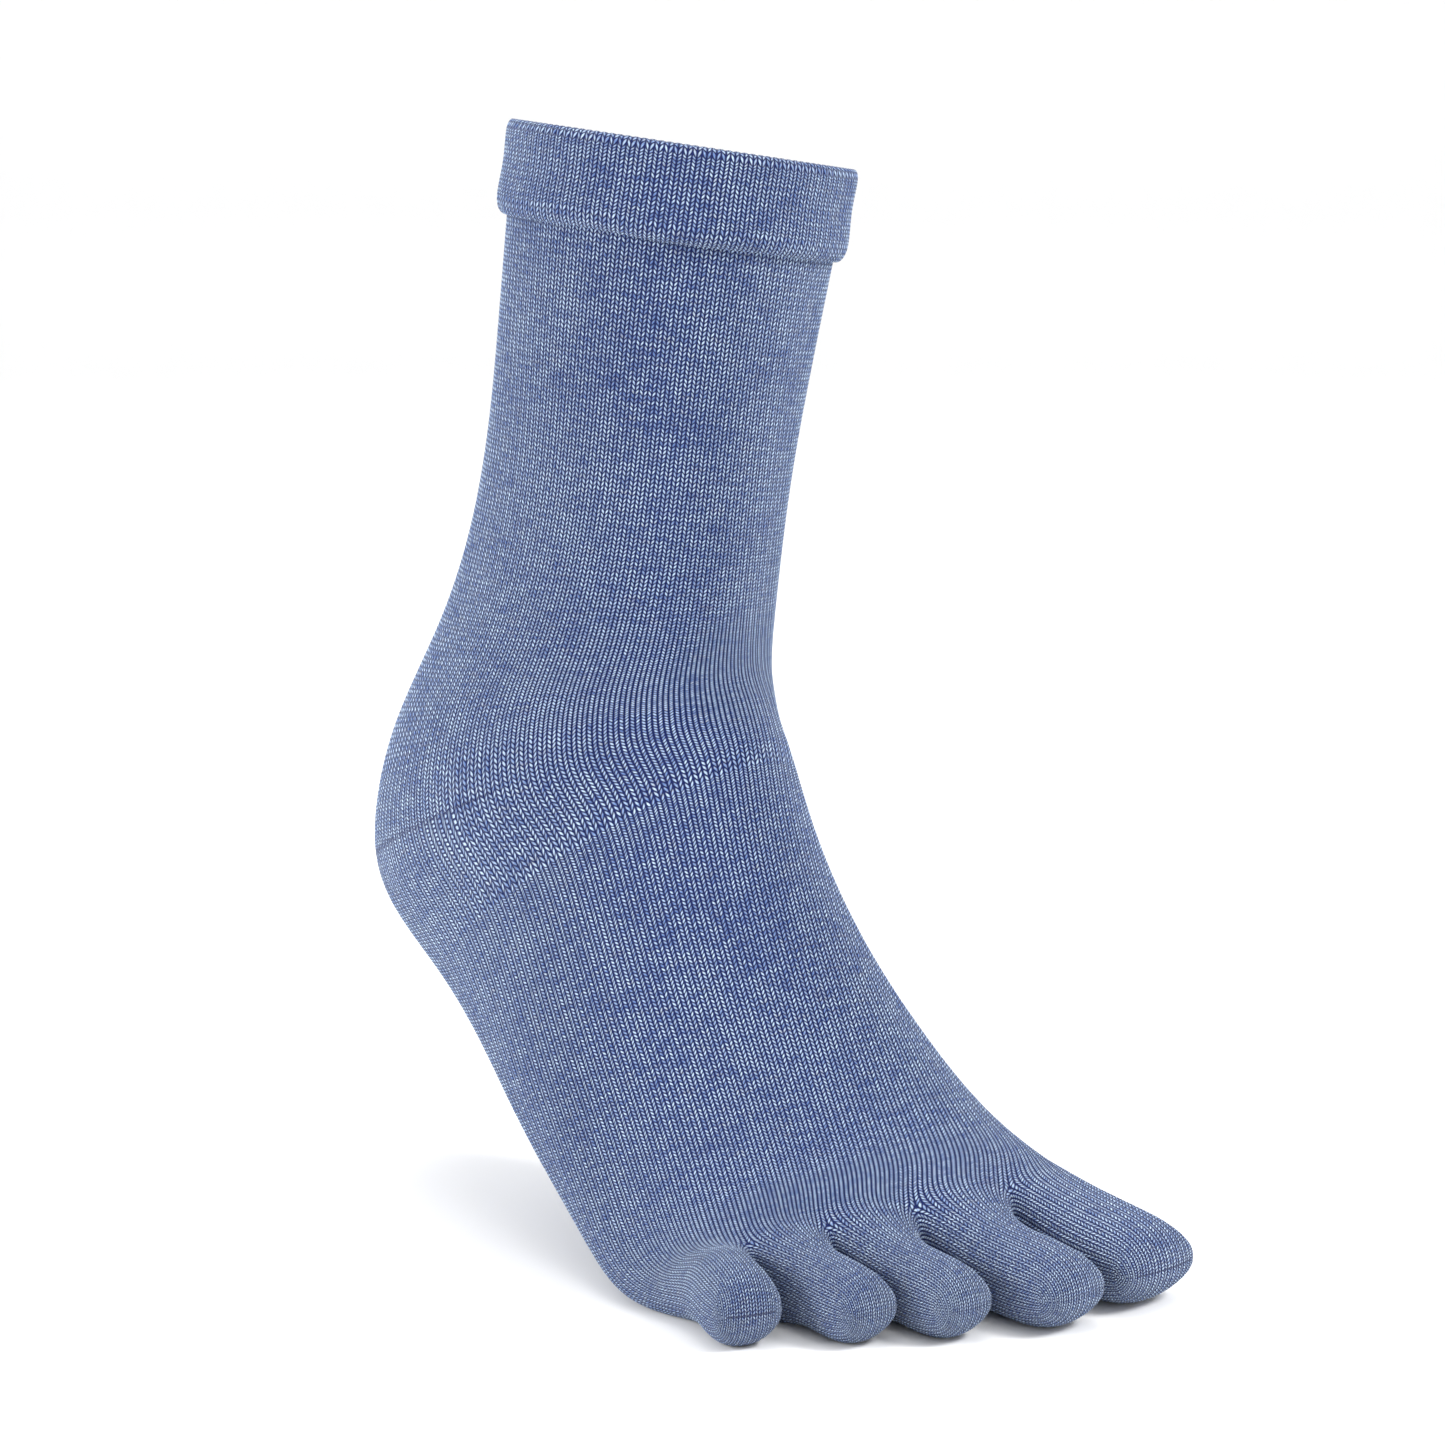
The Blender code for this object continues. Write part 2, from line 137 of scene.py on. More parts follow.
# %% Tables of toes
TOE_COLUMNS = ("name", "tip_y", "tip_x", "width", "root", "knuckle", "pad")
TOES = (
    ("toe_little", 0.812, 0.528, 0.96, 0.165, 1.10, 1.02),
    ("toe_fourth", 0.876, 0.318, 0.90, 0.150, 1.00, 0.97),
    ("toe_third", 0.922, 0.148, 0.93, 0.180, 1.02, 1.00),
    ("toe_second", 0.966, -0.078, 1.16, 0.220, 1.12, 1.05),
    ("toe_big", 0.969, -0.338, 1.52, 0.285, 1.28, 1.12),
)
TOE_RING_COLUMNS = ("along", "spread", "top", "lift", "close")
TOE_RINGS = (
    (0.30, 0.95, 0.0, 0.05, 0.00),
    (0.62, 1.02, 0.8, -0.06, 0.00),
    (0.90, 0.95, 1.0, 0.00, 0.08),
)
TOE_POINTS = 8           # points round a toe
TIP_SHOULDER = 0.70      # how far the ends of the tip seam reach, against its middle
CAGE_SHRINK = 0.9024     # radius that smoothing leaves of a ring of eight points
TOE_SQUARENESS = 1.06    # how far the corner points of a toe's ring stand out, 1 is round
SIDE_INSET = 0.035       # share of the toe base between its edge and the first toe's columns
TIP_REACH = 1.05         # where a toe's end point stands, so that smoothing leaves its length
WEB_RISE = 0.70          # height of the web between two toes, a share of the toe base's height
WEB_REACH = 0.0016       # how far the web stands forward of the toe base
TOE_VALLEY = 0.0012      # how far the toe base dips between two toes
TOE_CROWN = 0.0008       # how far it rises over each toe
toes = rows_of(TOE_COLUMNS, TOES)
print(len(toes), "toes:", ", ".join(toe["name"] for toe in toes))

# %% [markdown]
# ## The outline of a section
#
# Every section is a closed curve between a back point and a front point: round at the instep,
# squarer under the foot. A formula with an exponent for roundness gives all of them, which
# keeps the table short.

# %% Helpers for outlines


def section_outline(row, turns):
    """Points of one section: 0 is at the back, a quarter turn is the little toe's side."""
    span = LEG_WIDTH if row["span"] == "leg" else FOOT_WIDTH
    half = row["width"] * span / 2
    back = np.array([row["back_y"] * FOOT_LENGTH, row["back_z"] * HEM_HEIGHT])
    front = np.array([row["front_y"] * FOOT_LENGTH, row["front_z"] * HEM_HEIGHT])
    sine, cosine = np.sin(turns), np.cos(turns)
    power = 2 / np.where(cosine > 0, row["back_n"], row["front_n"])
    side = np.sign(sine) * np.abs(sine) ** power
    rise = np.abs(cosine) ** power
    wide_at = row["wide_at"]
    along = np.where(cosine > 0, wide_at * (1 - rise), wide_at + (1 - wide_at) * rise)
    crest = np.clip((along - wide_at) / (1 - wide_at), 0, 1) ** 2
    across = row["drift"] * FOOT_WIDTH + half * side + row["ridge"] * FOOT_WIDTH * crest
    chord = back + along[:, None] * (front - back)
    behind = (row["skew"] * side + row["bow"] * side**2) * FOOT_WIDTH
    height = chord[:, 1] + row["cant"] * half * side
    return np.stack([-across, -(chord[:, 0] - behind), height], axis=1)


def even_turns(row):
    """Angles that space the columns evenly round a section."""
    fine = np.linspace(0, 2 * math.pi, 2 * FINE_STEPS + 1)
    steps = np.linalg.norm(np.diff(section_outline(row, fine), axis=0), axis=1)
    run = np.concatenate([[0], np.cumsum(steps)])
    return np.interp(np.arange(COLUMNS) / COLUMNS * run[-1], run, fine)


def toe_turns(row):
    """Angles that put the columns of the toe base at the sides and the middle of each toe."""
    edges = np.concatenate([[0], np.cumsum([toe["root"] for toe in toes])])
    places = [edges[0]]
    for i in range(len(toes)):
        places += [(edges[i] + edges[i + 1]) / 2, edges[i + 1]]
    shares = np.clip(np.array(places) / edges[-1], SIDE_INSET, 1 - SIDE_INSET)
    side = COLUMNS // 4
    top = np.linspace(math.pi / 2, 3 * math.pi / 2, FINE_STEPS + 1)
    under = np.linspace(math.pi / 2, -math.pi / 2, FINE_STEPS + 1)
    turns = np.zeros(COLUMNS)
    for fine, step in ((top, 1), (under, -1)):
        x = section_outline(row, fine)[:, 0]
        for i, turn in enumerate(np.interp(x[0] + shares * (x[-1] - x[0]), x, fine)):
            turns[(side + step * (i + 1)) % COLUMNS] = turn
    turns[side] = math.pi / 2
    turns[3 * side] = 3 * math.pi / 2
    return turns


def outlines():
    """The points of every section. Near the toes they move over to the toes they reach."""
    first = section_names.index(TOE_SPREAD_FROM)
    shift = toe_turns(sections[-1]) - even_turns(sections[-1])
    shift = (shift + math.pi) % (2 * math.pi) - math.pi
    found = []
    for i, row in enumerate(sections):
        share = max(0.0, (i - first) / (len(sections) - 1 - first))
        found.append(section_outline(row, even_turns(row) + share**2 * shift))
    return found


rings_at = outlines()
leg_axis = rings_at[0].mean(axis=0) - rings_at[1].mean(axis=0)
leg_axis /= np.linalg.norm(leg_axis)
mouth = rings_at[0].mean(axis=0) + leg_axis * (SEAM_GAP + CUFF_HEIGHT)
FLOOR = -mouth[2]
rings_at = [points - mouth for points in rings_at]
print("floor is %.1f mm under the mouth" % (FLOOR * 1000))

# %% [markdown]
# ## Camera
#
# The photograph was taken from the little toe's side, a little above the hem and well back, as
# catalogue pictures are. A 90 mm lens from about 0.8 m keeps the toes from swelling towards the
# viewer. The camera comes first, because everything after it is judged through it.

# %% Camera
CAMERA_AT = (-0.53067, -0.60207, 0.00062)
CAMERA_TURN = (80.839, 0.0, -42.0)
lens = bpy.data.cameras.new("camera")
lens.lens = 90
lens.sensor_width = 36
lens.clip_start = 0.01
camera = bpy.data.objects.new("camera", lens)
camera.location = CAMERA_AT
camera.rotation_euler = [math.radians(angle) for angle in CAMERA_TURN]
bpy.context.scene.collection.objects.link(camera)
bpy.context.scene.camera = camera
print("camera at", CAMERA_AT)

# %% [markdown]
# ## Counting courses
#
# A heel is turned by knitting extra short rows at the back only. So the courses are counted
# along each column by itself in the heel, down from its top and up from its end, and the two
# counts meet at the suture, where real rows meet at an angle. On the instep side the count
# simply runs on.

# %% Course counts at every section
HEEL_START, SUTURE = section_names.index("heel_start"), section_names.index("suture")
HEEL_END = section_names.index("heel_end")
steps = [np.linalg.norm(b - a, axis=1) for a, b in zip(rings_at, rings_at[1:])]
instep_side = slice(HEEL_HALF, COLUMNS - HEEL_HALF + 1)


def course_table():
    """For every row of faces, the course counts at its upper and at its lower section."""
    level = [0.0]
    for i, step in enumerate(steps):
        turning = HEEL_START <= i < HEEL_END
        level.append(level[-1] + (step[instep_side] if turning else step).mean() / COURSE)
    table = [[np.full(COLUMNS, level[i]), np.full(COLUMNS, level[i + 1])] for i in range(len(steps))]
    heel = [c for c in range(COLUMNS) if c < HEEL_HALF or c > COLUMNS - HEEL_HALF]
    for c in heel:
        table[HEEL_START][1][c] = level[HEEL_START] + steps[HEEL_START][c] / COURSE
        count = level[HEEL_END]
        for i in range(HEEL_END - 1, SUTURE - 1, -1):
            table[i][1][c] = count
            count -= steps[i][c] / COURSE
            table[i][0][c] = count
    return table


courses = course_table()
print("courses from hem to toes: %.0f" % courses[-1][1][COLUMNS // 2])

# %% [markdown]
# ## The rough tube
#
# The tube starts as a circle of 24 points. It is extruded from section to section and each new
# ring is moved onto its outline, as a cage that smoothing will round. Extruding keeps the
# columns running unbroken from the welt to the toes, which is how the wales run.

# %% Helpers that knit a ring on


def extrude_ring(bm, ring, points):
    """Extrudes a closed ring of points and moves the new ring. Returns it in the same order."""
    around = [bm.edges.get((ring[i - 1], ring[i])) for i in range(len(ring))]
    made = bmesh.ops.extrude_edge_only(bm, edges=around)["geom"]
    new = {item for item in made if isinstance(item, bmesh.types.BMVert)}
    following = []
    for vert, point in zip(ring, points):
        twin = next(e.other_vert(vert) for e in vert.link_edges if e.other_vert(vert) in new)
        twin.co = point
        following.append(twin)
    return following


def mark_faces(bm, upper, lower, of_pieces, wales, counts):
    """Gives the faces between two rings their pieces and their wale and course counts."""
    layer, tag = bm.loops.layers.uv["knit"], bm.faces.layers.int["piece"]
    size = len(upper)
    for i in range(size):
        j = (i + 1) % size
        face = next(
            f for f in bm.edges.get((upper[i], upper[j])).link_faces
            if lower[i] in f.verts and lower[j] in f.verts
        )
        face[tag] = of_pieces[i]
        for loop in face.loops:
            c = i if loop.vert in (upper[i], lower[i]) else j
            row = 0 if loop.vert in (upper[i], upper[j]) else 1
            loop[layer].uv = (wales[i] + (WALES if c == j else 0), counts[row][c])


# %% Leg, heel and foot
PIECES = ("leg", "heel", "foot") + tuple(toe["name"] for toe in toes)
tube = bmesh.new()
tube.loops.layers.uv.new("knit")
tube.faces.layers.int.new("piece")
tube.verts.layers.float.new("seam")
ring = bmesh.ops.create_circle(tube, segments=COLUMNS, radius=LEG_WIDTH / 2)["verts"]
for vert, point in zip(ring, rings_at[0]):
    vert.co = point
column_wales = [WALES * c for c in range(COLUMNS)]


def piece_at(row, column):
    """Which piece of the sock a face of the tube belongs to, as a place in PIECES."""
    at_back = column < HEEL_HALF or column >= COLUMNS - HEEL_HALF
    if at_back and HEEL_START <= row < HEEL_END:
        return PIECES.index("heel")
    return PIECES.index("leg" if row < SUTURE else "foot")


for i in range(len(sections) - 1):
    following = extrude_ring(tube, ring, rings_at[i + 1])
    of_pieces = [piece_at(i, column) for column in range(COLUMNS)]
    mark_faces(tube, ring, following, of_pieces, column_wales, courses[i])
    ring = following
    if i + 1 == SUTURE:
        suture_ring = ring
for c in range(-SUTURE_HALF, SUTURE_HALF + 1):
    suture_ring[c][tube.verts.layers.float["seam"]] = 1.0
print("rough tube:", len(tube.verts), "points,", len(tube.faces), "faces")

# %% [markdown]
# ## Five toes on the tube's end
#
# A toe sock parts into five pockets. The ring at the toe base is crossed by four short edges,
# each with a point in its middle, and these are the webs of cloth between the toes. That leaves
# five openings of eight points, and each is extruded along its toe and closed by a seam across
# the tip, because real toe pockets are linked shut in a straight line.

# %% Webs between the toes
SIDE = COLUMNS // 4


def crossing_point(bm, over, under, share=0.5):
    """Joins two points by an edge and returns a new point on it, this share of the way up."""
    return bmesh.utils.edge_split(bm.edges.new((under, over)), under, share)[1]


webs = [ring[SIDE]]
for i in range(1, len(toes)):
    over, under = ring[SIDE + 1 + 2 * i], ring[(SIDE - 1 - 2 * i) % COLUMNS]
    over.co.z -= TOE_VALLEY
    web = crossing_point(tube, over, under, WEB_RISE)
    web.co.y -= WEB_REACH
    webs.append(web)
webs.append(ring[3 * SIDE])
for i in range(len(toes)):
    ring[SIDE + 2 + 2 * i].co.z += TOE_CROWN

# %% Helpers for a toe


def toe_ring(toe, row, root, tip, heading):
    """Eight points round a toe: over the top, one side, underneath, the other side."""
    width = toe["width"] * TOE_WIDTH
    knuckle, pad = toe["knuckle"] * TOE_WIDTH, toe["pad"] * TOE_WIDTH
    height = knuckle + row["top"] * (pad - knuckle)
    low = height * (row["lift"] + row["close"] / 2)
    high = height * (1 - row["close"])
    middle = root.lerp(tip, row["along"])
    middle.z = FLOOR + (low + high) / 2
    across = Vector((-heading.y, heading.x, 0))
    half_wide = width * row["spread"] / 2 / CAGE_SHRINK
    half_high = (high - low) / 2 / CAGE_SHRINK
    corner = math.sqrt(0.5) * TOE_SQUARENESS
    places = (
        (-corner, corner), (0, 1), (corner, corner), (1, 0),
        (corner, -corner), (0, -1), (-corner, -corner), (-1, 0),
    )
    return [middle + across * (s * half_wide) + Vector((0, 0, u * half_high)) for s, u in places]


def close_tip(bm, ring, tip, piece, wales, count):
    """Links the top and the underside of a toe along a line of three points across its tip."""
    layer, tag = bm.loops.layers.uv["knit"], bm.faces.layers.int["piece"]
    seam = []
    for over, under, push in ((0, 6, TIP_SHOULDER), (1, 5, 1.0), (2, 4, TIP_SHOULDER)):
        middle = crossing_point(bm, ring[over], ring[under])
        middle.co += (tip - sum((v.co for v in ring), Vector()) / TOE_POINTS) * push
        middle[bm.verts.layers.float["seam"]] = 1.0
        seam.append(middle)
    corners = (
        (ring[7], ring[0], seam[0]), (ring[0], ring[1], seam[1], seam[0]),
        (ring[1], ring[2], seam[2], seam[1]), (ring[2], ring[3], seam[2]),
        (ring[3], ring[4], seam[2]), (ring[4], ring[5], seam[1], seam[2]),
        (ring[5], ring[6], seam[0], seam[1]), (ring[6], ring[7], seam[0]),
    )
    reach = (seam[1].co - ring[1].co).length / COURSE
    for k, corner in enumerate(corners):
        face = bm.faces.new(corner)
        face[tag] = piece
        for loop in face.loops:
            if loop.vert in seam:
                k_top = seam.index(loop.vert)
                place = k_top if k < 4 else 6 - k_top
                loop[layer].uv = (wales + WALES * place, count + reach)
            else:
                place = ring.index(loop.vert)
                if k == 0 and place == TOE_POINTS - 1:
                    place = -1  # the last point comes before the first one here
                loop[layer].uv = (wales + WALES * place, count)


# %% Toes
for i, toe in enumerate(toes):
    over = [ring[SIDE + 1 + 2 * i + k] for k in range(3)]
    under = [ring[(SIDE - 1 - 2 * i - k) % COLUMNS] for k in (2, 1, 0)]
    last = over + [webs[i + 1]] + under + [webs[i]]
    root = sum((vert.co for vert in last), Vector()) / TOE_POINTS
    root.z = FLOOR
    tip_x, tip_y = -toe["tip_x"] * FOOT_WIDTH, -toe["tip_y"] * FOOT_LENGTH
    tip = Vector((tip_x - mouth[0], tip_y - mouth[1], FLOOR))
    heading = (tip - root).normalized()
    piece = PIECES.index(toe["name"])
    first_wale = WALES * (SIDE + 1 + 2 * i)
    wales = [first_wale + WALES * k for k in range(TOE_POINTS)]
    count = courses[-1][1][SIDE]
    for row in rows_of(TOE_RING_COLUMNS, TOE_RINGS):
        points = toe_ring(toe, row, root, tip, heading)
        following = extrude_ring(tube, last, points)
        step = sum((a.co - b.co).length for a, b in zip(last, following)) / TOE_POINTS / COURSE
        levels = [[count] * TOE_POINTS, [count + step] * TOE_POINTS]
        mark_faces(tube, last, following, [piece] * TOE_POINTS, wales, levels)
        last, count = following, count + step
    tip.z = sum(vert.co.z for vert in last) / TOE_POINTS
    tip = Vector((root.x, root.y, tip.z)).lerp(tip, TIP_REACH)
    close_tip(tube, last, tip, piece, first_wale, count)
    print(toe["name"], "tip at", [round(c, 4) for c in tip])
bmesh.ops.recalc_face_normals(tube, faces=tube.faces)
print("rough tube with toes:", len(tube.verts), "points,", len(tube.faces), "faces")

# %% [markdown]
# ## Smoothing and fine strips
#
# Three steps of subdivision turn the cage into a smooth skin. The skin is then cut lengthways
# into eight strips to a wale, so that each wale can be raised as a real ridge. Cutting only
# lengthways spends the faces where the knit changes fastest.

# %% Helper that smooths a cage


def smoothed(name, bm, steps):
    """A bmesh of the smooth surface that subdivision makes of a cage, pattern counts kept."""
    mesh = bpy.data.meshes.new(name)
    bm.to_mesh(mesh)
    bm.free()
    obj = bpy.data.objects.new(name, mesh)
    bpy.context.scene.collection.objects.link(obj)
    modifier = obj.modifiers.new("smooth", "SUBSURF")
    modifier.levels = modifier.render_levels = steps
    modifier.uv_smooth = "NONE"
    graph = bpy.context.evaluated_depsgraph_get()
    fine_mesh = bpy.data.meshes.new_from_object(obj.evaluated_get(graph))
    bpy.data.objects.remove(obj, do_unlink=True)
    fine = bmesh.new()
    fine.from_mesh(fine_mesh)
    bpy.data.meshes.remove(fine_mesh)
    return fine


SHORTEST_RUN = 0.3       # wales that an edge passes, if it is one to cut
STEEPEST_RUN = 0.5       # courses to a wale that it climbs at most


def cut_strips(bm):
    """Cuts every face lengthways, through the edges that run from wale to wale."""
    layer = bm.loops.layers.uv["knit"]
    across = []
    for edge in bm.edges:
        loop = edge.link_loops[0]
        run = loop.link_loop_next[layer].uv - loop[layer].uv
        if abs(run.x) > SHORTEST_RUN and abs(run.y) < STEEPEST_RUN * abs(run.x):
            across.append(edge)
    bmesh.ops.subdivide_edges(bm, edges=across, cuts=STRIPS - 1, use_grid_fill=True)


# %% Smooth the tube and cut its strips
under_skin = smoothed("tube", tube.copy(), SMOOTHING - 1)
skin = smoothed("tube", tube, SMOOTHING)
cut_strips(skin)
for layer_of_knit in (skin, under_skin):
    for vert in layer_of_knit.verts:
        vert.co.z = max(vert.co.z, FLOOR)
print("fine tube:", len(skin.verts), "points; its inner side:", len(under_skin.verts), "points")

# %% [markdown]
# ## Raising the wales
#
# Each wale of stocking stitch is two leaning legs of yarn with a shallow valley between them
# and a deeper one to the next wale. The valley between the wales is what the eye reads as fine
# ribs. The relief is about a fifth of a millimetre, worked out from the wale count at each point.

# %% Relief of the knit
WALE_RELIEF = 0.00016
LEG_RELIEF = 0.00006


def raise_wales(bm):
    """Moves each point in or out along its normal by the height of the knit there."""
    layer = bm.loops.layers.uv["knit"]
    bm.normal_update()
    moves = []
    for vert in bm.verts:
        if not vert.link_loops:
            continue
        turn = 2 * math.pi * vert.link_loops[0][layer].uv.x
        height = -WALE_RELIEF * (1 + math.cos(turn)) / 2 - LEG_RELIEF * (1 + math.cos(2 * turn)) / 2
        moves.append((vert, vert.normal * height))
    for vert, move in moves:
        vert.co += move


raise_wales(skin)
for vert in skin.verts:
    vert.co.z = max(vert.co.z, FLOOR)

# %% [markdown]
# ## How a stitch is drawn
#
# Stocking stitch is a stack of V shapes. Each V is two slanting legs of yarn, and the gaps
# between them lie in shade, which is painted here as dark navy colour. All of it can be drawn
# from the wale and course counts: the fraction of the wale count says where we are across the V,
# and the course count, slanted by that place, says where we are along a leg. Geometry for every
# stitch would be far too heavy, so the legs are drawn by colour and bump on top of the real
# ridges of the wales, and the shade of the gaps is painted into the colour.

# %% Helpers for shader nodes


class Weave:
    """A material's node tree, with short names for the nodes that a knit pattern needs."""

    def __init__(self, name):
        self.material = bpy.data.materials.new(name)
        self.material.use_nodes = True
        self.tree = self.material.node_tree
        self.shader = self.tree.nodes["Principled BSDF"]

    def put(self, socket, value):
        if isinstance(value, bpy.types.NodeSocket):
            self.tree.links.new(value, socket)
        elif value is not None:
            socket.default_value = value

    def math(self, kind, *values):
        node = self.tree.nodes.new("ShaderNodeMath")
        node.operation = kind
        for socket, value in zip(node.inputs, values):
            self.put(socket, value)
        return node.outputs[0]

    def vector(self, x, y, z=0.0):
        node = self.tree.nodes.new("ShaderNodeCombineXYZ")
        for socket, value in zip(node.inputs, (x, y, z)):
            self.put(socket, value)
        return node.outputs[0]

    def mix(self, share, a, b):
        node = self.tree.nodes.new("ShaderNodeMix")
        node.data_type = "RGBA"
        self.put(node.inputs["Factor"], share)
        self.put(node.inputs["A"], a)
        self.put(node.inputs["B"], b)
        return node.outputs["Result"]

    def ramp(self, value, low, high):
        """0 at low and 1 at high, eased between them."""
        node = self.tree.nodes.new("ShaderNodeMapRange")
        node.interpolation_type = "SMOOTHSTEP"
        self.put(node.inputs["Value"], value)
        self.put(node.inputs["From Min"], low)
        self.put(node.inputs["From Max"], high)
        return node.outputs["Result"]

    def noise(self, vector, scale, detail=2.0):
        node = self.tree.nodes.new("ShaderNodeTexNoise")
        self.put(node.inputs["Vector"], vector)
        self.put(node.inputs["Scale"], scale)
        self.put(node.inputs["Detail"], detail)
        return node.outputs["Fac"]

    def scaled(self, wale, course, often, layer=0.0):
        """The pattern counts, scaled by how often something changes to a wale and a course."""
        x, y = self.math("MULTIPLY", wale, often[0]), self.math("MULTIPLY", course, often[1])
        return self.vector(x, y, layer)

    def sway(self, value, noise, weight):
        """The value, moved up and down by a noise around its middle."""
        return self.math("MULTIPLY_ADD", self.math("SUBTRACT", noise, 0.5), weight, value)

    def chance(self, vector):
        node = self.tree.nodes.new("ShaderNodeTexWhiteNoise")
        node.noise_dimensions = "3D"
        self.put(node.inputs["Vector"], vector)
        return node.outputs["Value"]


# %% [markdown]
# ## Heathered yarn
#
# The yarn is spun from fibres dyed before spinning: pale blue, mid blue, navy and a little
# cream. So the shade changes along the yarn, in streaks that follow the courses, and again from
# stitch to stitch. One noise, stretched along the courses, gives the streaks, and a random
# number for each leg of a stitch gives the flecks. The dark navy colour is painted shade, laid
# into the gaps between the legs of the stitches.

# %% Colours of the yarn
PALE_FIBRE = (0.60, 0.77, 1.0, 1.0)
MID_FIBRE = (0.120, 0.215, 0.520, 1.0)
# Painted shade: dark navy for the gaps between the legs of the stitches, where shade falls
GAP_SHADE_NAVY = (0.006, 0.013, 0.085, 1.0)
CREAM_FIBRE = (0.44, 0.46, 0.52, 1.0)
SLANT = 1.1              # courses that a leg of a stitch climbs across its width
LEG_EDGE = (1.0, 0.15)   # from the edge of a leg to its full height, across it
COURSE_EDGE = (1.05, 0.2)  # the same, along it
# Knit heights that show the painted shade of the gaps, and those that show the full yarn
GAP_SHADE_AND_YARN = (0.20, 0.95)  # heights of the knit that show the dark gap and the full yarn
SEAM_EDGE = (0.92, 0.99)   # nearness to a seam where its stitches start to sink, and are down
SEAM_DEPTH = 0.3         # how far the stitches sink in a seam, a share of their own height
SHADE_EDGE = (-0.05, 1.0)  # shades that are all mid blue, and all pale blue
STREAK = (0.28, 0.9)     # how often the shade changes, to a wale and to a course
CREAM = (0.35, 1.0)      # the same for the cream fibre
CREAM_LAYER = 9.0        # depth in the noise, so that cream doesn't follow the streaks
CREAM_EDGE = (0.58, 0.72)
CREAM_SHARE = 0.55
STREAK_WEIGHT = 1.6      # how strongly streaks, single legs and clouds change the shade
FLECK_WEIGHT = 0.6
CLOUD_WEIGHT = 0.6
CLOUD_SCALE = 45         # of the noise that stands for thicker and thinner yarn
FIBRE_SCALE = 4200       # of the noise that stands for single fibres
# Single fibres roughen the edge of the painted shade in the gaps
FIBRE_DEPTH = 0.35       # how much single fibres roughen the edge of the dark gaps
FIBRE_BUMP = 0.2
BUMP_HEIGHT = 0.0005
SHEEN = {"Sheen Weight": 0.5, "Sheen Roughness": 0.4, "Sheen Tint": (0.72, 0.82, 1.0, 1.0)}
MATT = {"Roughness": 0.92, "Specular IOR Level": 0.15}


def knit_material(name, paleness=0.0):
    """Heathered stocking stitch, drawn from the wale and course counts of the surface."""
    w = Weave(name)
    counts = w.tree.nodes.new("ShaderNodeUVMap")
    counts.uv_map = "knit"
    parts = w.tree.nodes.new("ShaderNodeSeparateXYZ")
    w.tree.links.new(counts.outputs["UV"], parts.inputs[0])
    wale, course = parts.outputs["X"], parts.outputs["Y"]
    place = w.tree.nodes.new("ShaderNodeTexCoord").outputs["Object"]
    seam = w.tree.nodes.new("ShaderNodeAttribute")
    seam.attribute_name = "seam"

    from_middle = w.math("ABSOLUTE", w.math("SUBTRACT", w.math("FRACT", wale), 0.5))
    slanted = w.math("SUBTRACT", course, w.math("MULTIPLY", from_middle, 2 * SLANT))
    off_leg = w.math("ABSOLUTE", w.math("MULTIPLY_ADD", from_middle, 4.0, -1.0))
    off_course = w.math("ABSOLUTE", w.math("MULTIPLY_ADD", w.math("FRACT", slanted), 2.0, -1.0))
    leg = w.math("MULTIPLY", w.ramp(off_leg, *LEG_EDGE), w.ramp(off_course, *COURSE_EDGE))

    cell = w.vector(w.math("FLOOR", w.math("MULTIPLY", wale, 2.0)), w.math("FLOOR", slanted))
    fleck = w.chance(cell)
    streak = w.noise(w.scaled(wale, course, STREAK), 1.0, 3.0)
    cloud = w.noise(place, CLOUD_SCALE, 2.0)
    fibre = w.noise(place, FIBRE_SCALE, 2.0)
    shade = w.sway(0.5, streak, STREAK_WEIGHT)
    shade = w.sway(shade, fleck, FLECK_WEIGHT)
    shade = w.sway(shade, cloud, CLOUD_WEIGHT)
    pale = w.ramp(shade, SHADE_EDGE[0] - paleness, SHADE_EDGE[1] - paleness)
    yarn = w.mix(pale, MID_FIBRE, PALE_FIBRE)
    cream = w.noise(w.scaled(wale, course, CREAM, CREAM_LAYER), 1.0, 1.0)
    yarn = w.mix(w.math("MULTIPLY", w.ramp(cream, *CREAM_EDGE), CREAM_SHARE), yarn, CREAM_FIBRE)
    depth = w.sway(leg, fibre, FIBRE_DEPTH)
    in_seam = w.ramp(seam.outputs["Fac"], *SEAM_EDGE)
    depth = w.math("SUBTRACT", depth, w.math("MULTIPLY", in_seam, SEAM_DEPTH))
    # Painted shade: where the knit is low, between the legs of the stitches, the colour turns dark navy
    colour = w.mix(w.ramp(depth, *GAP_SHADE_AND_YARN), GAP_SHADE_NAVY, yarn)
    w.put(w.shader.inputs["Base Color"], colour)
    for socket, value in {**MATT, **SHEEN}.items():
        w.shader.inputs[socket].default_value = value
    bump = w.tree.nodes.new("ShaderNodeBump")
    bump.inputs["Distance"].default_value = BUMP_HEIGHT
    bump.inputs["Strength"].default_value = 1.0
    w.put(bump.inputs["Height"], w.math("MULTIPLY_ADD", fibre, FIBRE_BUMP, depth))
    w.tree.links.new(bump.outputs["Normal"], w.shader.inputs["Normal"])
    return w.material


MATERIALS = {
    "cuff_knit": knit_material("cuff_knit"),
    "leg_knit": knit_material("leg_knit"),
    "heel_knit": knit_material("heel_knit", 0.08),
    "foot_knit": knit_material("foot_knit"),
    "toe_knit": knit_material("toe_knit", 0.04),
}
print("materials:", ", ".join(MATERIALS))

# %% [markdown]
# ## One piece for each part of the sock
#
# The skin is parted into leg, heel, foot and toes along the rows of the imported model. Each gets
# an inner wall one layer of knit below it and a rim between the two, so that it is a closed
# piece of real cloth. A wall can be made by Solidify, but then every piece would shade its own
# border and the joins would show. Here all pieces take their normals from the whole skin, and
# the knit runs over the joins unbroken.

# %% Helpers that part the skin


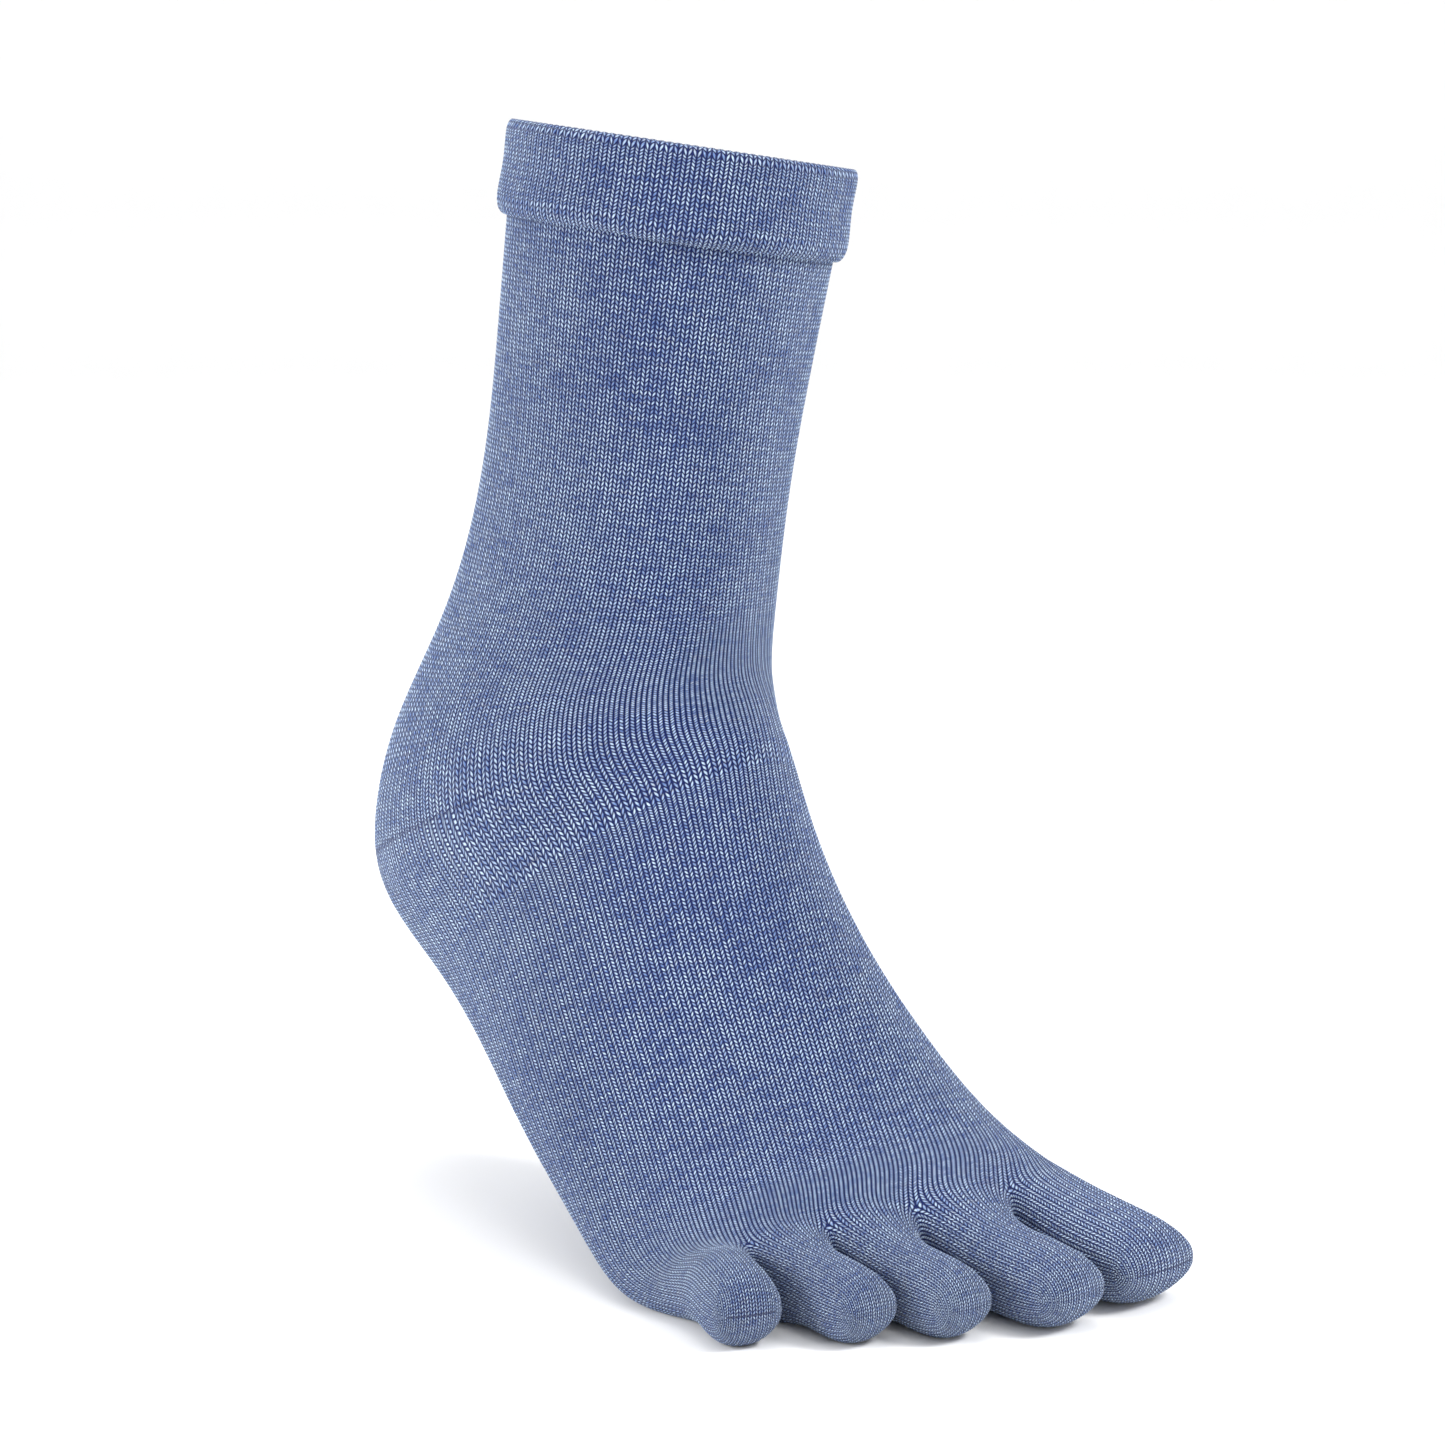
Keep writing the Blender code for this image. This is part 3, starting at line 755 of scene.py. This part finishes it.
def boundary_loops(bm, edges):
    """The open borders of a surface, each as a list of edges."""
    left, found = set(edges), []
    while left:
        loop, todo = [], [left.pop()]
        while todo:
            edge = todo.pop()
            loop.append(edge)
            near = {e for vert in edge.verts for e in vert.link_edges} & left
            left -= near
            todo += near
        found.append(loop)
    return found


def middle_of(loop):
    return sum((vert.co for edge in loop for vert in edge.verts), Vector()) / (2 * len(loop))


def keep_piece(bm, index):
    tag = bm.faces.layers.int["piece"]
    bmesh.ops.delete(bm, geom=[face for face in bm.faces if face[tag] != index], context="FACES")


def add_wall(part, lining):
    """Adds the lining, turned inwards, to the outer skin of a piece and closes the rims."""
    outer = [edge for edge in part.edges if edge.is_boundary]
    mesh = bpy.data.meshes.new("lining")
    bmesh.ops.reverse_faces(lining, faces=lining.faces)
    lining.to_mesh(mesh)
    known = set(part.edges)
    part.from_mesh(mesh)
    bpy.data.meshes.remove(mesh)
    inner = [edge for edge in part.edges if edge not in known and edge.is_boundary]
    inner_loops = boundary_loops(part, inner)
    for loop in boundary_loops(part, outer):
        middle = middle_of(loop)
        twin = min(inner_loops, key=lambda other: (middle_of(other) - middle).length)
        bmesh.ops.bridge_loops(part, edges=loop + twin)


# %% Part the skin into pieces


def add_piece(name, bm, node, slot):
    """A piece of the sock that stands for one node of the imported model."""
    way = bm.verts.layers.float_vector["way"]
    mesh = bpy.data.meshes.new(name)
    bm.normal_update()
    normals = [vert[way] if vert[way].length > 0.5 else vert.normal for vert in bm.verts]
    normals = [tuple(normal.normalized()) for normal in normals]
    bm.to_mesh(mesh)
    mesh.shade_smooth()
    mesh.normals_split_custom_set_from_vertices(normals)
    mesh.materials.append(MATERIALS[slot])
    obj = bpy.data.objects.new(name, mesh)
    bpy.context.scene.collection.objects.link(obj)
    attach(obj, "root")
    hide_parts(node)
    mesh.calc_loop_triangles()
    print(name, len(mesh.loop_triangles), "triangles")


def store_normals(bm, sign=1):
    """Keeps each point's normal, so that a part cut from this skin can still be shaded by it."""
    way = bm.verts.layers.float_vector.new("way")
    bm.normal_update()
    for vert in bm.verts:
        vert[way] = vert.normal * sign


SLOTS = {"leg": "leg_knit", "heel": "heel_knit", "foot": "foot_knit"}
store_normals(skin)
store_normals(under_skin, -1)
for vert in under_skin.verts:
    vert.co += vert[under_skin.verts.layers.float_vector["way"]] * KNIT_THICKNESS
for index, node in enumerate(PIECES):
    part, lining = skin.copy(), under_skin.copy()
    keep_piece(part, index)
    keep_piece(lining, index)
    add_wall(part, lining)
    add_piece(node + "_knit", part, node, SLOTS.get(node, "toe_knit"))
    part.free()
    lining.free()
skin.free()
under_skin.free()

# %% [markdown]
# ## The welt
#
# The top of the sock is a band of double knit, turned over at the rim and caught down at the
# hem. Its profile is a short table, carried round the leg's outline. Both layers hang a little
# over the leg's first course, as a caught-down hem does, and so they hide the join.

# %% Welt
CUFF_PROFILE_COLUMNS = ("up", "out", "uneven")
CUFF_PROFILE = (
    (-0.09, 0.48, 1),
    (0.10, 1.06, 1),
    (0.52, 0.68, 0),
    (0.93, 1.02, 0),
    (1.02, 0.45, 0),
    (0.93, -0.10, 0),
    (0.50, -0.32, 0),
    (-0.07, -0.50, 0),
)
HEM_WAVE = 0.00025       # height of each wave that makes the hem's edge a little uneven
HEM_WAVES = (2, 3, 5, 7)  # waves round the hem
HEM_COURSES = 3          # courses of the hem's underside
spokes = rings_at[0] - rings_at[0].mean(axis=0)
spokes -= np.outer(spokes @ leg_axis, leg_axis)
outward = spokes / np.linalg.norm(spokes, axis=1, keepdims=True)
profile = rows_of(CUFF_PROFILE_COLUMNS, CUFF_PROFILE)
turns = np.arange(COLUMNS) / COLUMNS * 2 * math.pi
wave = sum(np.sin(times * turns + times) for times in HEM_WAVES)[:, None]
loops_at = [
    rings_at[0] + outward * row["out"] * CUFF_THICKNESS
    + leg_axis * (SEAM_GAP + row["up"] * CUFF_HEIGHT)
    + leg_axis * wave * row["uneven"] * HEM_WAVE
    for row in profile
]
welt = bmesh.new()
welt.loops.layers.uv.new("knit")
welt.faces.layers.int.new("piece")
ring = bmesh.ops.create_circle(welt, segments=COLUMNS, radius=LEG_WIDTH / 2)["verts"]
for vert, point in zip(ring, loops_at[0]):
    vert.co = point
first_ring, count = ring, 0.0
for points, last in zip(loops_at[1:], loops_at):
    following = extrude_ring(welt, ring, points)
    step = np.linalg.norm(points - last, axis=1).mean() / COURSE
    levels = [[count] * COLUMNS, [count + step] * COLUMNS]
    mark_faces(welt, ring, following, [0] * COLUMNS, column_wales, levels)
    ring, count = following, count + step
ends = [e for e in welt.edges if e.is_boundary]
bmesh.ops.bridge_loops(welt, edges=ends)
levels = [[count] * COLUMNS, [count + HEM_COURSES] * COLUMNS]
mark_faces(welt, ring, first_ring, [0] * COLUMNS, column_wales, levels)
bmesh.ops.recalc_face_normals(welt, faces=welt.faces)
band = smoothed("welt", welt, SMOOTHING)
cut_strips(band)
raise_wales(band)
store_normals(band)
add_piece("cuff_knit", band, "cuff", "cuff_knit")
band.free()

# %% [markdown]
# ## Studio
#
# A catalogue picture has a white ground with one soft shadow. A pale floor sweeps up all round,
# so that no horizon shows. The world gives most of the light. A key from the right throws the
# shadow of the raised heel to the left, a side light picks out the back of the leg, and one
# from above keeps the instep pale. The Standard view transform leaves white paper white.

# %% Floor
FLAT_RADIUS = 3.0
SWEEP = ((0.6, 0.15), (0.5, 0.45), (0.3, 0.9), (0.1, 1.6))  # steps outwards and up
FLOOR_GAP = 0.0001       # keeps the floor from flickering through the flat of the toes
FLOOR_SIDES = 64
PAPER_WHITE = (0.94, 0.94, 0.94, 1.0)
PAPER_ROUGHNESS = 0.9
floor = bmesh.new()
bmesh.ops.create_circle(floor, cap_ends=True, segments=FLOOR_SIDES, radius=FLAT_RADIUS)
rim = [e for e in floor.edges if e.is_boundary]
for grow, lift in SWEEP:
    made = bmesh.ops.extrude_edge_only(floor, edges=rim)["geom"]
    verts = [v for v in made if isinstance(v, bmesh.types.BMVert)]
    for v in verts:
        v.co += Vector((v.co.x, v.co.y, 0)).normalized() * grow + Vector((0, 0, lift))
    rim = [e for e in made if isinstance(e, bmesh.types.BMEdge) and e.is_boundary]
bmesh.ops.recalc_face_normals(floor, faces=floor.faces)
bmesh.ops.translate(floor, verts=floor.verts, vec=(0, 0, FLOOR - FLOOR_GAP))
floor_mesh = bpy.data.meshes.new("floor")
floor.to_mesh(floor_mesh)
floor.free()
floor_mesh.shade_smooth()
paper = bpy.data.materials.new("pale_floor")
paper.use_nodes = True
paper.node_tree.nodes["Principled BSDF"].inputs["Base Color"].default_value = PAPER_WHITE
paper.node_tree.nodes["Principled BSDF"].inputs["Roughness"].default_value = PAPER_ROUGHNESS
floor_mesh.materials.append(paper)
floor_obj = bpy.data.objects.new("floor", floor_mesh)
bpy.context.scene.collection.objects.link(floor_obj)
print("floor of", len(floor_mesh.polygons), "faces")

# %% Lights
LIGHT_COLUMNS = ("name", "at", "size", "power")
LIGHTS = (
    ("key", (0.6, -1.2, 1.1), 0.6, 25),
    ("side", (-1.5, 0.6, 0.5), 0.7, 20),
    ("top", (0.1, 0.2, 1.9), 1.2, 12),
)
WORLD_STRENGTH = 0.95
for row in rows_of(LIGHT_COLUMNS, LIGHTS):
    light = bpy.data.lights.new(row["name"], "AREA")
    light.shape = "DISK"
    light.size = row["size"]
    light.energy = row["power"]
    lamp = bpy.data.objects.new(row["name"], light)
    lamp.location = row["at"]
    aim = Vector((0, 0, FLOOR / 2)) - lamp.location
    lamp.rotation_euler = aim.to_track_quat("-Z", "Y").to_euler()
    bpy.context.scene.collection.objects.link(lamp)
world = bpy.data.worlds.new("studio")
world.use_nodes = True
world.node_tree.nodes["Background"].inputs["Color"].default_value = (1.0, 1.0, 1.0, 1.0)
world.node_tree.nodes["Background"].inputs["Strength"].default_value = WORLD_STRENGTH
bpy.context.scene.world = world
bpy.context.scene.view_settings.view_transform = "Standard"
print(len(LIGHTS), "lights and a white world")
